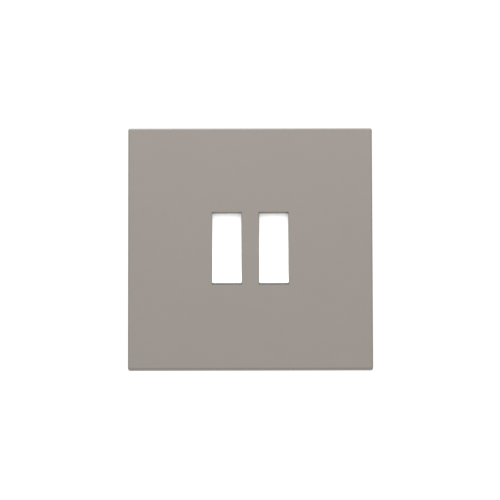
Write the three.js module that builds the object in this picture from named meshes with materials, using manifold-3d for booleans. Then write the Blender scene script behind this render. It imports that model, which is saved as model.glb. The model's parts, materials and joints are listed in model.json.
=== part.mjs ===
// A two-gang rocker wall switch in millimetres, +Z up.
// The origin is the centre of the switch on the wall plane, Y = 0.
// The front faces -Y and the works go into +Y.
import * as THREE from "three";
import { mergeVertices } from "three/addons/utils/BufferGeometryUtils.js";
import Module from "manifold-3d";

const wasm = await Module();
wasm.setup();

// ---- Driving dimensions ----
const FIT = 0.05; // gap between parts that seat on each other
const ROUND_SIDES = 24;
const SMALL_SIDES = 16;

const PLATE = { size: 86, depth: 4, skin: 1.5, rim: 1.6, corner: 0.7, bevel: 0.35, off_wall: 0.1 };
const WINDOW = { width: 10.45, height: 25.9, pitch: 16.5, depth: 2.7, wall: 1.2 };
const CARRIER = { size: 81, thick: 1.2, back: -0.7, corner: 2, window: [34, 31] };
const GASKET = { outer: 80, inner: 73 };
const CLIP = { x: 28, width: 7, thick: 0.25, tab: 4, edge_gap: 0.15, leaf_end: -0.8, bump: 0.4 };
const FIXING = {
  pitch: 60.3,
  shank_r: 1.7,
  head_r: 3.5,
  head_depth: 2.1,
  slack: 0.35,
  slot: 1.2,
  drive: 1,
  length: 25,
};
const DIMPLE_WALL = 1;

const HOUSING = { width: 49, height: 52, front: -0.65, split: 4, back: 21, corner: 1.5 };
const BOSS = { width: 33, height: 30, front: -1.1 };
const WELL_GAP = { side: 0.3, end: 0.25 };

const ROCKER = {
  width: 10.15,
  tilt: 6,
  pivot_y: 0.5,
  end_gap: 0.15,
  dish: 0.25,
  back: 1.4,
  shell: 1.3,
  end_wall: 1.7,
};
const TRUNNION = { r: 0.9, play: 0.1, length: 1.2, floor_gap: 0.3 };
const STEM = { r: 2.7, end: 7.5, bore_r: 1.65, bore_floor: 0.5 };
const PLUNGER = { r: 1.45, start: 5.2, reach_gap: 0.05 };
const SPRING = { coil_r: 1.15, wire_r: 0.17, turns: 6, steps: 12, sides: 6, end_gap: 0.1 };

const BLADE = { pivot_y: 12.8, tilt: 10, thick: 0.8, width: 4.4, length: 20.4, notch: 0.3 };
const TIP = { at: 8.5, r: 1, face_r: 0.8, fixed_r: 1.2, moving: 0.6, gap: 0.06, joint: 0.01 };
const STRAP = { front: 15.7, thick: 0.8, width: 5, first: 6.6, common: 5 };
const KNIFE = { width: 3.6, half: 1.4, gap: 0.02 };
const CHAMBER = { width: 9, half_height: 23.6 };

const BLOCK = { size: 7, front: 9.5, back: 18.5, bore_r: 1.8, bore_y: 12.7, tap_r: 1.75 };
const END_BLOCK_Z = 19;
const SIDE_BLOCK_X = 19;
const POCKET_GAP = 0.3;
const WIRE_HOLE_R = 1.9;
const CLAMP_SCREW = { r: 1.65, tip: 12.3, head_r: 2.6, head: 1.8, seat_gap: 0.3, well_r: 2.9, slot: 0.8 };
const CASE_SCREW = {
  x: 20.6,
  z: 22,
  r: 1.2,
  head_r: 2.1,
  head: 1.8,
  seat: 8,
  tip: -1.2,
  well_r: 2.4,
  hole_r: 1.4,
  slot: 0.6,
};
const DRIVE_DEPTH = 0.9;
const EARTH = { z: -31.5, front: -0.65, back: 10.3, bore_y: 4.4, tip: 4.0 };

const COLORS = {
  greige: { color: 0xa0988f, roughness: 0.6, metalness: 0 },
  white: { color: 0xf4f3ef, roughness: 0.35, metalness: 0 },
  housing: { color: 0xdedcd4, roughness: 0.55, metalness: 0 },
  base: { color: 0x3c3e40, roughness: 0.55, metalness: 0 },
  nylon: { color: 0xe9e2cf, roughness: 0.5, metalness: 0 },
  foam: { color: 0x2b2b2c, roughness: 0.95, metalness: 0 },
  steel: { color: 0xb9bcbe, roughness: 0.35, metalness: 1 },
  spring: { color: 0x8f9396, roughness: 0.3, metalness: 1 },
  brass: { color: 0xc8a55a, roughness: 0.35, metalness: 1 },
  copper: { color: 0xb87350, roughness: 0.35, metalness: 1 },
  silver: { color: 0xd9dadb, roughness: 0.25, metalness: 1 },
};

// ---- Derived places ----
const plateFront = -PLATE.depth;
const skinBack = plateFront + PLATE.skin;
const collarBack = plateFront + WINDOW.depth;
const carrierFront = CARRIER.back - CARRIER.thick;
const gangs = [
  { name: "left", x: -WINDOW.pitch / 2, out: -1 },
  { name: "right", x: WINDOW.pitch / 2, out: 1 },
];
const radians = THREE.MathUtils.degToRad;

// The rocker's ends are arcs about its trunnions that just clear the back edge of the window.
const endRadius = Math.hypot(WINDOW.height / 2 - ROCKER.end_gap, ROCKER.pivot_y - collarBack);
// With its bottom end out, the rocker's face corner is flush with the plate's front.
const cornerAngle = Math.asin((ROCKER.pivot_y - plateFront) / endRadius) - radians(ROCKER.tilt);
const faceCorner = {
  y: ROCKER.pivot_y - endRadius * Math.sin(cornerAngle),
  z: endRadius * Math.cos(cornerAngle),
};
const wellHalfHeight = endRadius + WELL_GAP.end;
const wellWidth = ROCKER.width + 2 * WELL_GAP.side;
const plungerTip = BLADE.pivot_y - BLADE.thick - PLUNGER.reach_gap;
const strapBack = STRAP.front + STRAP.thick;

// ---- Solids ----
function toSolid(geometry) {
  const bare = geometry.clone();
  bare.deleteAttribute("normal");
  bare.deleteAttribute("uv");
  const merged = mergeVertices(bare, 1e-4);
  return new wasm.Manifold(
    new wasm.Mesh({
      numProp: 3,
      vertProperties: merged.attributes.position.array,
      triVerts: new Uint32Array(merged.index.array),
    }),
  );
}

function toGeometry(solid) {
  const mesh = solid.getMesh();
  const geometry = new THREE.BufferGeometry();
  geometry.setAttribute("position", new THREE.BufferAttribute(mesh.vertProperties, 3));
  geometry.setIndex(new THREE.BufferAttribute(mesh.triVerts, 1));
  const flat = geometry.toNonIndexed();
  flat.computeVertexNormals();
  return flat;
}

// The joined geometries less the cut ones.
function shaped(joined, cut = []) {
  let solid = toSolid(joined[0]);
  for (const more of joined.slice(1)) solid = solid.add(toSolid(more));
  for (const tool of cut) solid = solid.subtract(toSolid(tool));
  return toGeometry(solid);
}

function block([x0, x1], [y0, y1], [z0, z1]) {
  const box = new THREE.BoxGeometry(x1 - x0, y1 - y0, z1 - z0);
  return box.translate((x0 + x1) / 2, (y0 + y1) / 2, (z0 + z1) / 2);
}

function centred(middle, size) {
  return [middle - size / 2, middle + size / 2];
}

// A cone or cylinder along Y, from radius r0 at y0 to radius r1 at y1.
function coneY(x, z, [y0, y1], r0, r1 = r0, sides = ROUND_SIDES) {
  const cone = new THREE.CylinderGeometry(r1, r0, y1 - y0, sides);
  return cone.translate(x, (y0 + y1) / 2, z);
}

function smallRodY(x, z, span, r) {
  return coneY(x, z, span, r, r, SMALL_SIDES);
}

function rodX(y, z, [x0, x1], r, sides = ROUND_SIDES) {
  const rod = new THREE.CylinderGeometry(r, r, x1 - x0, sides).rotateZ(-Math.PI / 2);
  return rod.translate((x0 + x1) / 2, y, z);
}

function rodZ(x, y, [z0, z1], r, sides = ROUND_SIDES) {
  const rod = new THREE.CylinderGeometry(r, r, z1 - z0, sides).rotateX(Math.PI / 2);
  return rod.translate(x, y, (z0 + z1) / 2);
}

// An outline drawn in (Y, Z), extruded along X.
function extrudeX(shape, [x0, x1], curveSegments = 10) {
  const solid = new THREE.ExtrudeGeometry(shape, { depth: x1 - x0, bevelEnabled: false, curveSegments });
  const turn = new THREE.Matrix4().set(0, 0, 1, x0, 1, 0, 0, 0, 0, 1, 0, 0, 0, 0, 0, 1);
  return solid.applyMatrix4(turn);
}

// An outline drawn in (X, Z), extruded along Y.
function extrudeY(shape, [y0, y1], options = {}) {
  const settings = { depth: y1 - y0, bevelEnabled: false, curveSegments: 3, ...options };
  return new THREE.ExtrudeGeometry(shape, settings).rotateX(Math.PI / 2).translate(0, y1, 0);
}

function roundedRectangle(width, height, r) {
  const [x0, x1] = centred(0, width);
  const [z0, z1] = centred(0, height);
  const shape = new THREE.Shape();
  shape.moveTo(x0 + r, z0);
  shape.lineTo(x1 - r, z0).absarc(x1 - r, z0 + r, r, -Math.PI / 2, 0);
  shape.lineTo(x1, z1 - r).absarc(x1 - r, z1 - r, r, 0, Math.PI / 2);
  shape.lineTo(x0 + r, z1).absarc(x0 + r, z1 - r, r, Math.PI / 2, Math.PI);
  shape.lineTo(x0, z0 + r).absarc(x0 + r, z0 + r, r, Math.PI, Math.PI * 1.5);
  return shape;
}

function part(name, geometry, finish, parent) {
  const mesh = new THREE.Mesh(geometry, new THREE.MeshStandardMaterial(COLORS[finish]));
  mesh.name = name;
  parent.add(mesh);
  return mesh;
}

// ---- Face plate ----
function facePlate() {
  const { bevel, corner, size, rim, off_wall } = PLATE;
  const outline = roundedRectangle(size - 2 * bevel, size - 2 * bevel, corner - bevel);
  const bevelled = { bevelEnabled: true, bevelSize: bevel, bevelThickness: bevel, bevelSegments: 2 };
  const slab = extrudeY(outline, [plateFront + bevel, 1], bevelled);
  const inside = centred(0, size - 2 * rim);
  const cut = [
    block([-size, size], [-off_wall, size], [-size, size]),
    block(inside, [skinBack, size], inside),
  ];
  const windows = [];
  let plate = toSolid(shaped([slab], cut));
  for (const { x } of gangs) {
    const collar = [WINDOW.width + 2 * WINDOW.wall, WINDOW.height + 2 * WINDOW.wall];
    const wall = block(centred(x, collar[0]), [skinBack - FIT, collarBack], centred(0, collar[1]));
    plate = plate.add(toSolid(wall));
    windows.push(block(centred(x, WINDOW.width), [-size, size], centred(0, WINDOW.height)));
  }
  for (const opening of windows) plate = plate.subtract(toSolid(opening));
  return toGeometry(plate);
}

// ---- Steel carrier, its clips, seal and fixing screws ----
// A countersunk hollow along Y, drawn out by slot up and down.
function countersink(x, [y0, y1], r0, r1, slot) {
  const ends = slot ? [-slot, slot] : [0];
  const cones = ends.map((z) => coneY(x, z, [y0, y1], r0, r1));
  if (!slot) return cones;
  const wedge = new THREE.Shape();
  wedge.moveTo(x - r0, y0).lineTo(x + r0, y0).lineTo(x + r1, y1).lineTo(x - r1, y1);
  const straight = new THREE.ExtrudeGeometry(wedge, { depth: 2 * slot, bevelEnabled: false });
  return [...cones, straight.translate(0, 0, -slot)];
}

function carrierFrame() {
  const { size, corner, back, window } = CARRIER;
  const deepest = carrierFront + FIXING.head_depth;
  const joined = [extrudeY(roundedRectangle(size, size, corner), [carrierFront, back])];
  const cut = [block(centred(0, window[0]), [-size, size], centred(0, window[1]))];
  for (const { x, slot } of fixings()) {
    const wide = FIXING.head_r + FIXING.slack;
    const narrow = FIXING.shank_r + FIXING.slack;
    const outside = [back - FIT, deepest + DIMPLE_WALL];
    joined.push(...countersink(x, outside, wide + DIMPLE_WALL, narrow + DIMPLE_WALL, slot));
    cut.push(...countersink(x, [carrierFront - FIT, deepest], wide, narrow, slot));
    cut.push(...countersink(x, [deepest - FIT, size], narrow, narrow, slot));
  }
  cut.push(...caseScrews().map(({ x, z }) => smallRodY(x, z, [-size, size], CASE_SCREW.hole_r)));
  return shaped(joined, cut);
}

function fixings() {
  return [
    { name: "left", x: -FIXING.pitch / 2, slot: 0 },
    { name: "right", x: FIXING.pitch / 2, slot: FIXING.slot },
  ];
}

function fixingScrew(x) {
  const { head_r, shank_r, head_depth, length } = FIXING;
  const front = carrierFront + FIT;
  const head = coneY(x, 0, [front, front + head_depth - FIT], head_r, shank_r);
  const shank = coneY(x, 0, [front + head_depth - 2 * FIT, front + length], shank_r);
  const slot = block(centred(x, 2 * head_r), [front - 1, front + DRIVE_DEPTH], centred(0, FIXING.drive));
  return shaped([head, shank], [slot]);
}

function plateClip(x, side) {
  const { thick, tab, edge_gap, leaf_end, bump, width } = CLIP;
  const edge = CARRIER.size / 2 + edge_gap;
  const front = carrierFront - FIT - thick;
  const middle = (front + leaf_end) / 2;
  const outline = new THREE.Shape();
  outline.moveTo(front, edge - tab).lineTo(front, edge + thick);
  outline.lineTo(middle, edge + thick + bump).lineTo(leaf_end, edge + thick);
  outline.lineTo(leaf_end, edge).lineTo(middle, edge + bump).lineTo(front + thick, edge);
  outline.lineTo(front + thick, edge - tab);
  const clip = extrudeX(outline, centred(0, width));
  return clip.rotateY(side > 0 ? 0 : Math.PI).applyMatrix4(new THREE.Matrix4().makeTranslation(x, 0, 0));
}

function wallGasket() {
  const ring = roundedRectangle(GASKET.outer, GASKET.outer, CARRIER.corner);
  ring.holes.push(roundedRectangle(GASKET.inner, GASKET.inner, CARRIER.corner));
  return extrudeY(ring, [CARRIER.back + FIT, 0]);
}

// ---- Housing ----
function caseScrews() {
  const corners = [];
  for (const [row, z] of [["upper", CASE_SCREW.z], ["lower", -CASE_SCREW.z]])
    for (const [side, x] of [["left", -CASE_SCREW.x], ["right", CASE_SCREW.x]])
      corners.push({ name: `${row}_${side}`, x, z });
  return corners;
}

function mechanismCover() {
  const { width, height, front, split, corner } = HOUSING;
  const flange = extrudeY(roundedRectangle(width, height, corner), [front, split]);
  const boss = block(centred(0, BOSS.width), [BOSS.front, front + FIT], centred(0, BOSS.height));
  const cut = [];
  for (const { x } of gangs) {
    const bearing = wellWidth + 2 * (TRUNNION.length - WELL_GAP.side + TRUNNION.floor_gap);
    cut.push(block(centred(x, wellWidth), [-height, height], centred(0, 2 * wellHalfHeight)));
    cut.push(rodX(ROCKER.pivot_y, 0, centred(x, bearing), TRUNNION.r + TRUNNION.play));
  }
  cut.push(...caseScrews().map(({ x, z }) => smallRodY(x, z, [-height, height], CASE_SCREW.hole_r)));
  return shaped([flange, boss], cut);
}

// Every terminal block's place: its centre and the way its wire comes in.
function terminals({ x, out }) {
  return [
    { kind: "common", x: out * SIDE_BLOCK_X, z: 0, way: [out, 0] },
    { kind: "upper", x, z: END_BLOCK_Z, way: [0, 1] },
    { kind: "lower", x, z: -END_BLOCK_Z, way: [0, -1] },
  ];
}

function wireHole({ x, z, way }, y, r, [from, to]) {
  if (way[0]) return rodX(y, z, [x + way[0] * from, x + way[0] * to].sort((a, b) => a - b), r, SMALL_SIDES);
  return rodZ(x, y, [z + way[1] * from, z + way[1] * to].sort((a, b) => a - b), r, SMALL_SIDES);
}

function mechanismBase() {
  const { width, height, split, back, corner } = HOUSING;
  const front = split + FIT;
  const pocket = BLOCK.size + 2 * POCKET_GAP;
  const cut = [];
  for (const gang of gangs) {
    const floor = strapBack + FIT;
    const channel = [gang.x, gang.out * SIDE_BLOCK_X].sort((a, b) => a - b);
    cut.push(block(centred(gang.x, CHAMBER.width), [0, floor], centred(0, 2 * CHAMBER.half_height)));
    cut.push(block(channel, [0, floor], centred(0, STRAP.common + 2 * POCKET_GAP)));
    for (const terminal of terminals(gang)) {
      const { x, z } = terminal;
      cut.push(block(centred(x, pocket), [0, BLOCK.back + FIT], centred(z, pocket)));
      cut.push(smallRodY(x, z, [BLOCK.front, height], CLAMP_SCREW.well_r));
      cut.push(wireHole(terminal, BLOCK.bore_y, WIRE_HOLE_R, [0, height]));
    }
  }
  for (const { x, z } of caseScrews()) {
    cut.push(smallRodY(x, z, [0, height], CASE_SCREW.hole_r));
    cut.push(smallRodY(x, z, [CASE_SCREW.seat, height], CASE_SCREW.well_r));
  }
  return shaped([extrudeY(roundedRectangle(width, height, corner), [front, back])], cut);
}

function slottedScrew(x, z, { r, tip, seat, head_r, head, slot }) {
  const shank = smallRodY(x, z, [tip, seat + FIT], r);
  const top = smallRodY(x, z, [seat, seat + head], head_r);
  const driveEnds = [seat + head - DRIVE_DEPTH, seat + 2 * head];
  const drive = block(centred(x, 3 * head_r), driveEnds, centred(z, slot));
  return shaped([shank, top], [drive]);
}

// ---- Rocker, plunger and spring, drawn with the rocker level ----
function rockerProfile() {
  const { pivot_y, dish, back } = ROCKER;
  const { y, z } = faceCorner;
  const backAngle = Math.asin((back - pivot_y) / endRadius);
  const dishRadius = (z * z + dish * dish) / (2 * dish);
  const dishAngle = Math.asin(z / dishRadius);
  const dishCentre = y + dish - dishRadius;
  const shape = new THREE.Shape();
  shape.moveTo(y, -z);
  shape.absarc(dishCentre, 0, dishRadius, -dishAngle, dishAngle, false);
  shape.absarc(pivot_y, 0, endRadius, Math.PI / 2 + cornerAngle, Math.PI / 2 - backAngle, true);
  shape.lineTo(back, -endRadius * Math.cos(backAngle));
  shape.absarc(pivot_y, 0, endRadius, backAngle - Math.PI / 2, -Math.PI / 2 - cornerAngle, true);
  return shape;
}

function rocker(x) {
  const { width, pivot_y, shell, end_wall, back, dish } = ROCKER;
  const halfInside = endRadius - end_wall;
  const inside = [faceCorner.y + dish + shell, back + 1];
  const paddle = extrudeX(rockerProfile(), centred(x, width), 8);
  const hollow = block(centred(x, width - 2 * shell), inside, [-halfInside, halfInside]);
  const trunnions = rodX(pivot_y, 0, centred(x, width + 2 * TRUNNION.length), TRUNNION.r);
  const stem = coneY(x, 0, [inside[0] - FIT, STEM.end], STEM.r);
  const bore = coneY(x, 0, [STEM.bore_floor, STEM.end + 1], STEM.bore_r);
  const shelled = toSolid(shaped([paddle], [hollow]));
  const whole = shelled.add(toSolid(trunnions)).add(toSolid(stem)).subtract(toSolid(bore));
  return toGeometry(whole);
}

function plunger(x) {
  const { r, start } = PLUNGER;
  const dome = plungerTip - r;
  const profile = [new THREE.Vector2(0, start), new THREE.Vector2(r, start)];
  const steps = 4;
  for (let i = 0; i < steps; i++) {
    const turn = (i / steps) * (Math.PI / 2);
    profile.push(new THREE.Vector2(r * Math.cos(turn), dome + r * Math.sin(turn)));
  }
  profile.push(new THREE.Vector2(0, plungerTip));
  return new THREE.LatheGeometry(profile, ROUND_SIDES).translate(x, 0, 0);
}

function plungerSpring(x) {
  const { coil_r, wire_r, turns, steps, sides, end_gap } = SPRING;
  const first = STEM.bore_floor + end_gap + wire_r;
  const last = PLUNGER.start - end_gap - wire_r;
  class Helix extends THREE.Curve {
    getPoint(t, target = new THREE.Vector3()) {
      const turn = 2 * Math.PI * turns * t;
      return target.set(x + coil_r * Math.cos(turn), first + (last - first) * t, coil_r * Math.sin(turn));
    }
  }
  const wire = new THREE.Shape();
  for (let i = 0; i < sides; i++) {
    const turn = (2 * Math.PI * i) / sides;
    const point = [wire_r * Math.cos(turn), wire_r * Math.sin(turn)];
    if (i) wire.lineTo(...point);
    else wire.moveTo(...point);
  }
  return new THREE.ExtrudeGeometry(wire, { steps: turns * steps, extrudePath: new Helix() });
}

// ---- Contacts, drawn with the blade level ----
function contactBlade(x) {
  const { pivot_y, thick, width, length, notch } = BLADE;
  const strip = block(centred(x, width), [pivot_y - thick, pivot_y], centred(0, length));
  const groove = new THREE.Shape();
  groove.moveTo(pivot_y + 1, -2 * notch).lineTo(pivot_y + 1, 2 * notch).lineTo(pivot_y - notch, 0);
  return shaped([strip], [extrudeX(groove, centred(x, width + 2))]);
}

function movingTip(x, z) {
  const ends = [BLADE.pivot_y + TIP.joint, BLADE.pivot_y + TIP.moving];
  return coneY(x, z, ends, TIP.r, TIP.face_r, SMALL_SIDES);
}

// The front of the fixed tip, where the moving tip's outer edge lands when the blade is tipped over.
function fixedTipFront() {
  const tilt = radians(BLADE.tilt);
  return BLADE.pivot_y + TIP.moving * Math.cos(tilt) + (TIP.at + TIP.face_r) * Math.sin(tilt) + TIP.gap;
}

function terminalBlock({ x, z, way }, [front, back], boreY) {
  const sides = [centred(x, BLOCK.size), [front, back], centred(z, BLOCK.size)];
  const wire = wireHole({ x, z, way }, boreY, BLOCK.bore_r, [-BLOCK.size, BLOCK.size]);
  return [block(...sides), wire, smallRodY(x, z, [boreY, back + 1], BLOCK.tap_r)];
}

function endTerminal(terminal) {
  const { x, z } = terminal;
  const [body, wire, tap] = terminalBlock(terminal, [BLOCK.front, BLOCK.back], BLOCK.bore_y);
  const reach = [STRAP.first * Math.sign(z), z].sort((a, b) => a - b);
  const strap = block(centred(x, STRAP.width), [STRAP.front, strapBack], reach);
  return shaped([body, strap], [wire, tap]);
}

function commonTerminal(terminal, gangX) {
  const [body, wire, tap] = terminalBlock(terminal, [BLOCK.front, BLOCK.back], BLOCK.bore_y);
  const reach = [gangX - Math.sign(gangX) * (STRAP.width / 2), terminal.x].sort((a, b) => a - b);
  const strap = block(reach, [STRAP.front, strapBack], centred(0, STRAP.common));
  const knife = new THREE.Shape();
  knife.moveTo(STRAP.front + FIT, -KNIFE.half).lineTo(STRAP.front + FIT, KNIFE.half);
  knife.lineTo(BLADE.pivot_y + KNIFE.gap, 0);
  const fulcrum = extrudeX(knife, centred(gangX, KNIFE.width));
  return shaped([body, strap, fulcrum], [wire, tap]);
}

function clampScrew({ x, z }) {
  const seat = BLOCK.back + CLAMP_SCREW.seat_gap;
  return slottedScrew(x, z, { ...CLAMP_SCREW, seat });
}

function earthTerminal() {
  const place = { x: 0, z: EARTH.z, way: [1, 0] };
  const [body, wire, tap] = terminalBlock(place, [EARTH.front, EARTH.back], EARTH.bore_y);
  return shaped([body], [wire, tap]);
}

// ---- Assembly ----
const assembly = new THREE.Group();

function tiltedGroup(pivotY, degrees) {
  const pivot = new THREE.Group();
  pivot.position.y = pivotY;
  pivot.rotation.x = radians(degrees);
  const level = new THREE.Group();
  level.position.y = -pivotY;
  pivot.add(level);
  assembly.add(pivot);
  return level;
}

part("face_plate", facePlate(), "greige", assembly);
part("carrier_frame", carrierFrame(), "steel", assembly);
part("wall_gasket", wallGasket(), "foam", assembly);
for (const [row, side] of [["upper", 1], ["lower", -1]]) {
  part(`plate_clip_${row}_left`, plateClip(-CLIP.x, side), "spring", assembly);
  part(`plate_clip_${row}_right`, plateClip(CLIP.x, side), "spring", assembly);
}
for (const { name, x } of fixings()) part(`fixing_screw_${name}`, fixingScrew(x), "steel", assembly);

part("mechanism_cover", mechanismCover(), "housing", assembly);
part("mechanism_base", mechanismBase(), "base", assembly);
for (const { name, x, z } of caseScrews()) {
  const screw = slottedScrew(x, z, { ...CASE_SCREW, seat: CASE_SCREW.seat + FIT });
  part(`case_screw_${name}`, screw, "steel", assembly);
}

for (const gang of gangs) {
  const tilting = tiltedGroup(ROCKER.pivot_y, -ROCKER.tilt);
  part(`rocker_${gang.name}`, rocker(gang.x), "white", tilting);
  part(`plunger_${gang.name}`, plunger(gang.x), "nylon", tilting);
  part(`plunger_spring_${gang.name}`, plungerSpring(gang.x), "spring", tilting);

  const seesaw = tiltedGroup(BLADE.pivot_y, BLADE.tilt);
  part(`contact_blade_${gang.name}`, contactBlade(gang.x), "copper", seesaw);
  for (const [row, z] of [["upper", TIP.at], ["lower", -TIP.at]]) {
    const front = fixedTipFront();
    part(`moving_tip_${row}_${gang.name}`, movingTip(gang.x, z), "silver", seesaw);
    const fixed = smallRodY(gang.x, z, [front, STRAP.front - TIP.joint], TIP.fixed_r);
    part(`fixed_tip_${row}_${gang.name}`, fixed, "silver", assembly);
  }
  for (const terminal of terminals(gang)) {
    const common = terminal.kind === "common";
    const shape = common ? commonTerminal(terminal, gang.x) : endTerminal(terminal);
    part(`${terminal.kind}_terminal_${gang.name}`, shape, "brass", assembly);
    part(`${terminal.kind}_screw_${gang.name}`, clampScrew(terminal), "steel", assembly);
  }
}

part("earth_terminal", earthTerminal(), "brass", assembly);
const earthSeat = EARTH.back + CLAMP_SCREW.seat_gap;
const earthPlace = { ...CLAMP_SCREW, tip: EARTH.tip, seat: earthSeat };
part("earth_screw", slottedScrew(0, EARTH.z, earthPlace), "steel", assembly);

export default assembly;
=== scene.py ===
"""Dresses the two-gang rocker wall switch: finishes, finely shaped pieces, floor, light and camera."""

import json
import logging
import math
from dataclasses import dataclass, field
from enum import Enum
from typing import Callable, Sequence

import bpy
from mathutils import Matrix, Vector


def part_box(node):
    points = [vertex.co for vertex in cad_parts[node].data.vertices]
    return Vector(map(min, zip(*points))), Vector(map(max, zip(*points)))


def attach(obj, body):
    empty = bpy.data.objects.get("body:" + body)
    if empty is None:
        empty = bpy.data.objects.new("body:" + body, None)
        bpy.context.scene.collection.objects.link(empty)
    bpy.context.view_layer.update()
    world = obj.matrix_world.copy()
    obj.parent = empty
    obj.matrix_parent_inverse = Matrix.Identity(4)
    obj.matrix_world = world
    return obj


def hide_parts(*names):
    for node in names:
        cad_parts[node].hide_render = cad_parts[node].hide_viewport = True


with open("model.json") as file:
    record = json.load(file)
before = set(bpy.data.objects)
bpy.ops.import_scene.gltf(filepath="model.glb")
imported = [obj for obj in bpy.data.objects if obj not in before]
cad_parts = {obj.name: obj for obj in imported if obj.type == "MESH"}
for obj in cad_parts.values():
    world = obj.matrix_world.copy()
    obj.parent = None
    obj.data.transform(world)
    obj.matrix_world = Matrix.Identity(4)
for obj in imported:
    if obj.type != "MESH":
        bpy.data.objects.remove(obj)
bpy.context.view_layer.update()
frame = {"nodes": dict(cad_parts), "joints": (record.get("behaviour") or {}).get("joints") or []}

log = logging.getLogger("wall_switch")

MM = 0.001
MERGE = 0.001 * MM
SIDES = ("left", "right")
ROWS = ("upper", "lower")
FRAME_BODY = "switch_frame"

Piece = bpy.types.Object
Socket = bpy.types.NodeSocket
Colour = tuple[float, float, float]
Span = tuple[float, float]


class Axis(Enum):
    """A direction of the switch: across, into the wall, and up."""

    ACROSS = (1.0, 0.0, 0.0)
    INWARD = (0.0, 1.0, 0.0)
    UP = (0.0, 0.0, 1.0)


class Streaks(Enum):
    """Which way the marks on a metal run, as stretch factors for the noise."""

    ROLLED_UP = (1.0, 1.0, 0.06)
    ROLLED_ACROSS = (0.06, 1.0, 1.0)
    TURNED = (1.0, 0.12, 1.0)


# ---- Finishes ----
class NodeBoard:
    """The node tree of one material, with short ways to add what the finishes share."""

    def __init__(self, name: str) -> None:
        """Starts an empty material.

        Args:
            name: the material's name.
        """
        self.material = bpy.data.materials.new(name)
        self.material.use_nodes = True
        self.tree = self.material.node_tree
        self.tree.nodes.clear()
        self.shader = self.tree.nodes.new("ShaderNodeBsdfPrincipled")
        output = self.tree.nodes.new("ShaderNodeOutputMaterial")
        self.link(self.shader.outputs["BSDF"], output.inputs["Surface"])
        self.place = self.tree.nodes.new("ShaderNodeTexCoord").outputs["Object"]

    def link(self, source: Socket, target: Socket) -> None:
        """Joins two sockets."""
        self.tree.links.new(source, target)

    def noise(
        self, feature: float, detail: float = 3.0, stretch: Colour = (1.0, 1.0, 1.0)
    ) -> Socket:
        """Adds a noise pattern.

        Args:
            feature: the size of its spots, in metres.
            detail: how many finer layers it has.
            stretch: how much the pattern is squeezed along each axis.

        Returns:
            The socket of the pattern's value.
        """
        mapping = self.tree.nodes.new("ShaderNodeMapping")
        mapping.inputs["Scale"].default_value = stretch
        self.link(self.place, mapping.inputs["Vector"])
        noise = self.tree.nodes.new("ShaderNodeTexNoise")
        noise.inputs["Scale"].default_value = 1.0 / feature
        noise.inputs["Detail"].default_value = detail
        self.link(mapping.outputs["Vector"], noise.inputs["Vector"])
        return noise.outputs["Fac"]

    def spots(self, feature: float) -> Socket:
        """Adds a pattern of cells of that size in metres and returns its distance socket."""
        cells = self.tree.nodes.new("ShaderNodeTexVoronoi")
        cells.inputs["Scale"].default_value = 1.0 / feature
        self.link(self.place, cells.inputs["Vector"])
        return cells.outputs["Distance"]

    def spread(self, value: Socket, low: float, high: float) -> Socket:
        """Maps the middle of a pattern onto a range.

        Args:
            value: the pattern's socket.
            low: what its dark parts become.
            high: what its bright parts become.

        Returns:
            The socket of the mapped value.
        """
        node = self.tree.nodes.new("ShaderNodeMapRange")
        node.inputs["From Min"].default_value = 0.3
        node.inputs["From Max"].default_value = 0.7
        node.inputs["To Min"].default_value = low
        node.inputs["To Max"].default_value = high
        self.link(value, node.inputs["Value"])
        return node.outputs["Result"]

    def blend(self, value: Socket, first: Colour, second: Colour) -> Socket:
        """Mixes two colours by a pattern and returns the colour's socket."""
        mix = self.tree.nodes.new("ShaderNodeMix")
        mix.data_type = "RGBA"
        mix.inputs[6].default_value = (*first, 1.0)
        mix.inputs[7].default_value = (*second, 1.0)
        self.link(self.spread(value, 0.0, 1.0), mix.inputs["Factor"])
        return mix.outputs[2]

    def relief(self, heights: Sequence[tuple[Socket, float]]) -> None:
        """Lays bumps on the surface.

        Args:
            heights: patterns and how high each one stands, in metres.
        """
        normal = None
        for value, height in heights:
            bump = self.tree.nodes.new("ShaderNodeBump")
            bump.inputs["Distance"].default_value = height
            self.link(value, bump.inputs["Height"])
            if normal is not None:
                self.link(normal, bump.inputs["Normal"])
            normal = bump.outputs["Normal"]
        self.link(normal, self.shader.inputs["Normal"])


@dataclass(frozen=True)
class Moulding:
    """A moulded plastic: a faint mottle, a spark-eroded grain and uneven gloss.

    Args:
        name: the material's name.
        colour: the plastic's colour, linear.
        mottle: how far the colour drifts, as a share.
        roughness: its lowest and highest roughness.
        grain: the size of the grain, in metres.
        grain_height: how high the grain stands, in metres.
        specular: the shader's specular level.
    """

    name: str
    colour: Colour
    mottle: float = 0.03
    roughness: Span = (0.45, 0.55)
    grain: float = 0.25 * MM
    grain_height: float = 0.004 * MM
    specular: float = 0.5

    def material(self) -> bpy.types.Material:
        """Builds the material."""
        board = NodeBoard(self.name)
        clouds = board.noise(9 * MM, detail=2.0)
        light = tuple(c * (1 + self.mottle) for c in self.colour)
        dark = tuple(c * (1 - self.mottle) for c in self.colour)
        board.link(board.blend(clouds, dark, light), board.shader.inputs["Base Color"])
        wear = board.noise(2.5 * MM)
        board.link(board.spread(wear, *self.roughness), board.shader.inputs["Roughness"])
        board.shader.inputs["Specular IOR Level"].default_value = self.specular
        ripple = board.noise(6 * MM, detail=1.0)
        board.relief([(board.noise(self.grain), self.grain_height), (ripple, 2 * self.grain_height)])
        return board.material


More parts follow.
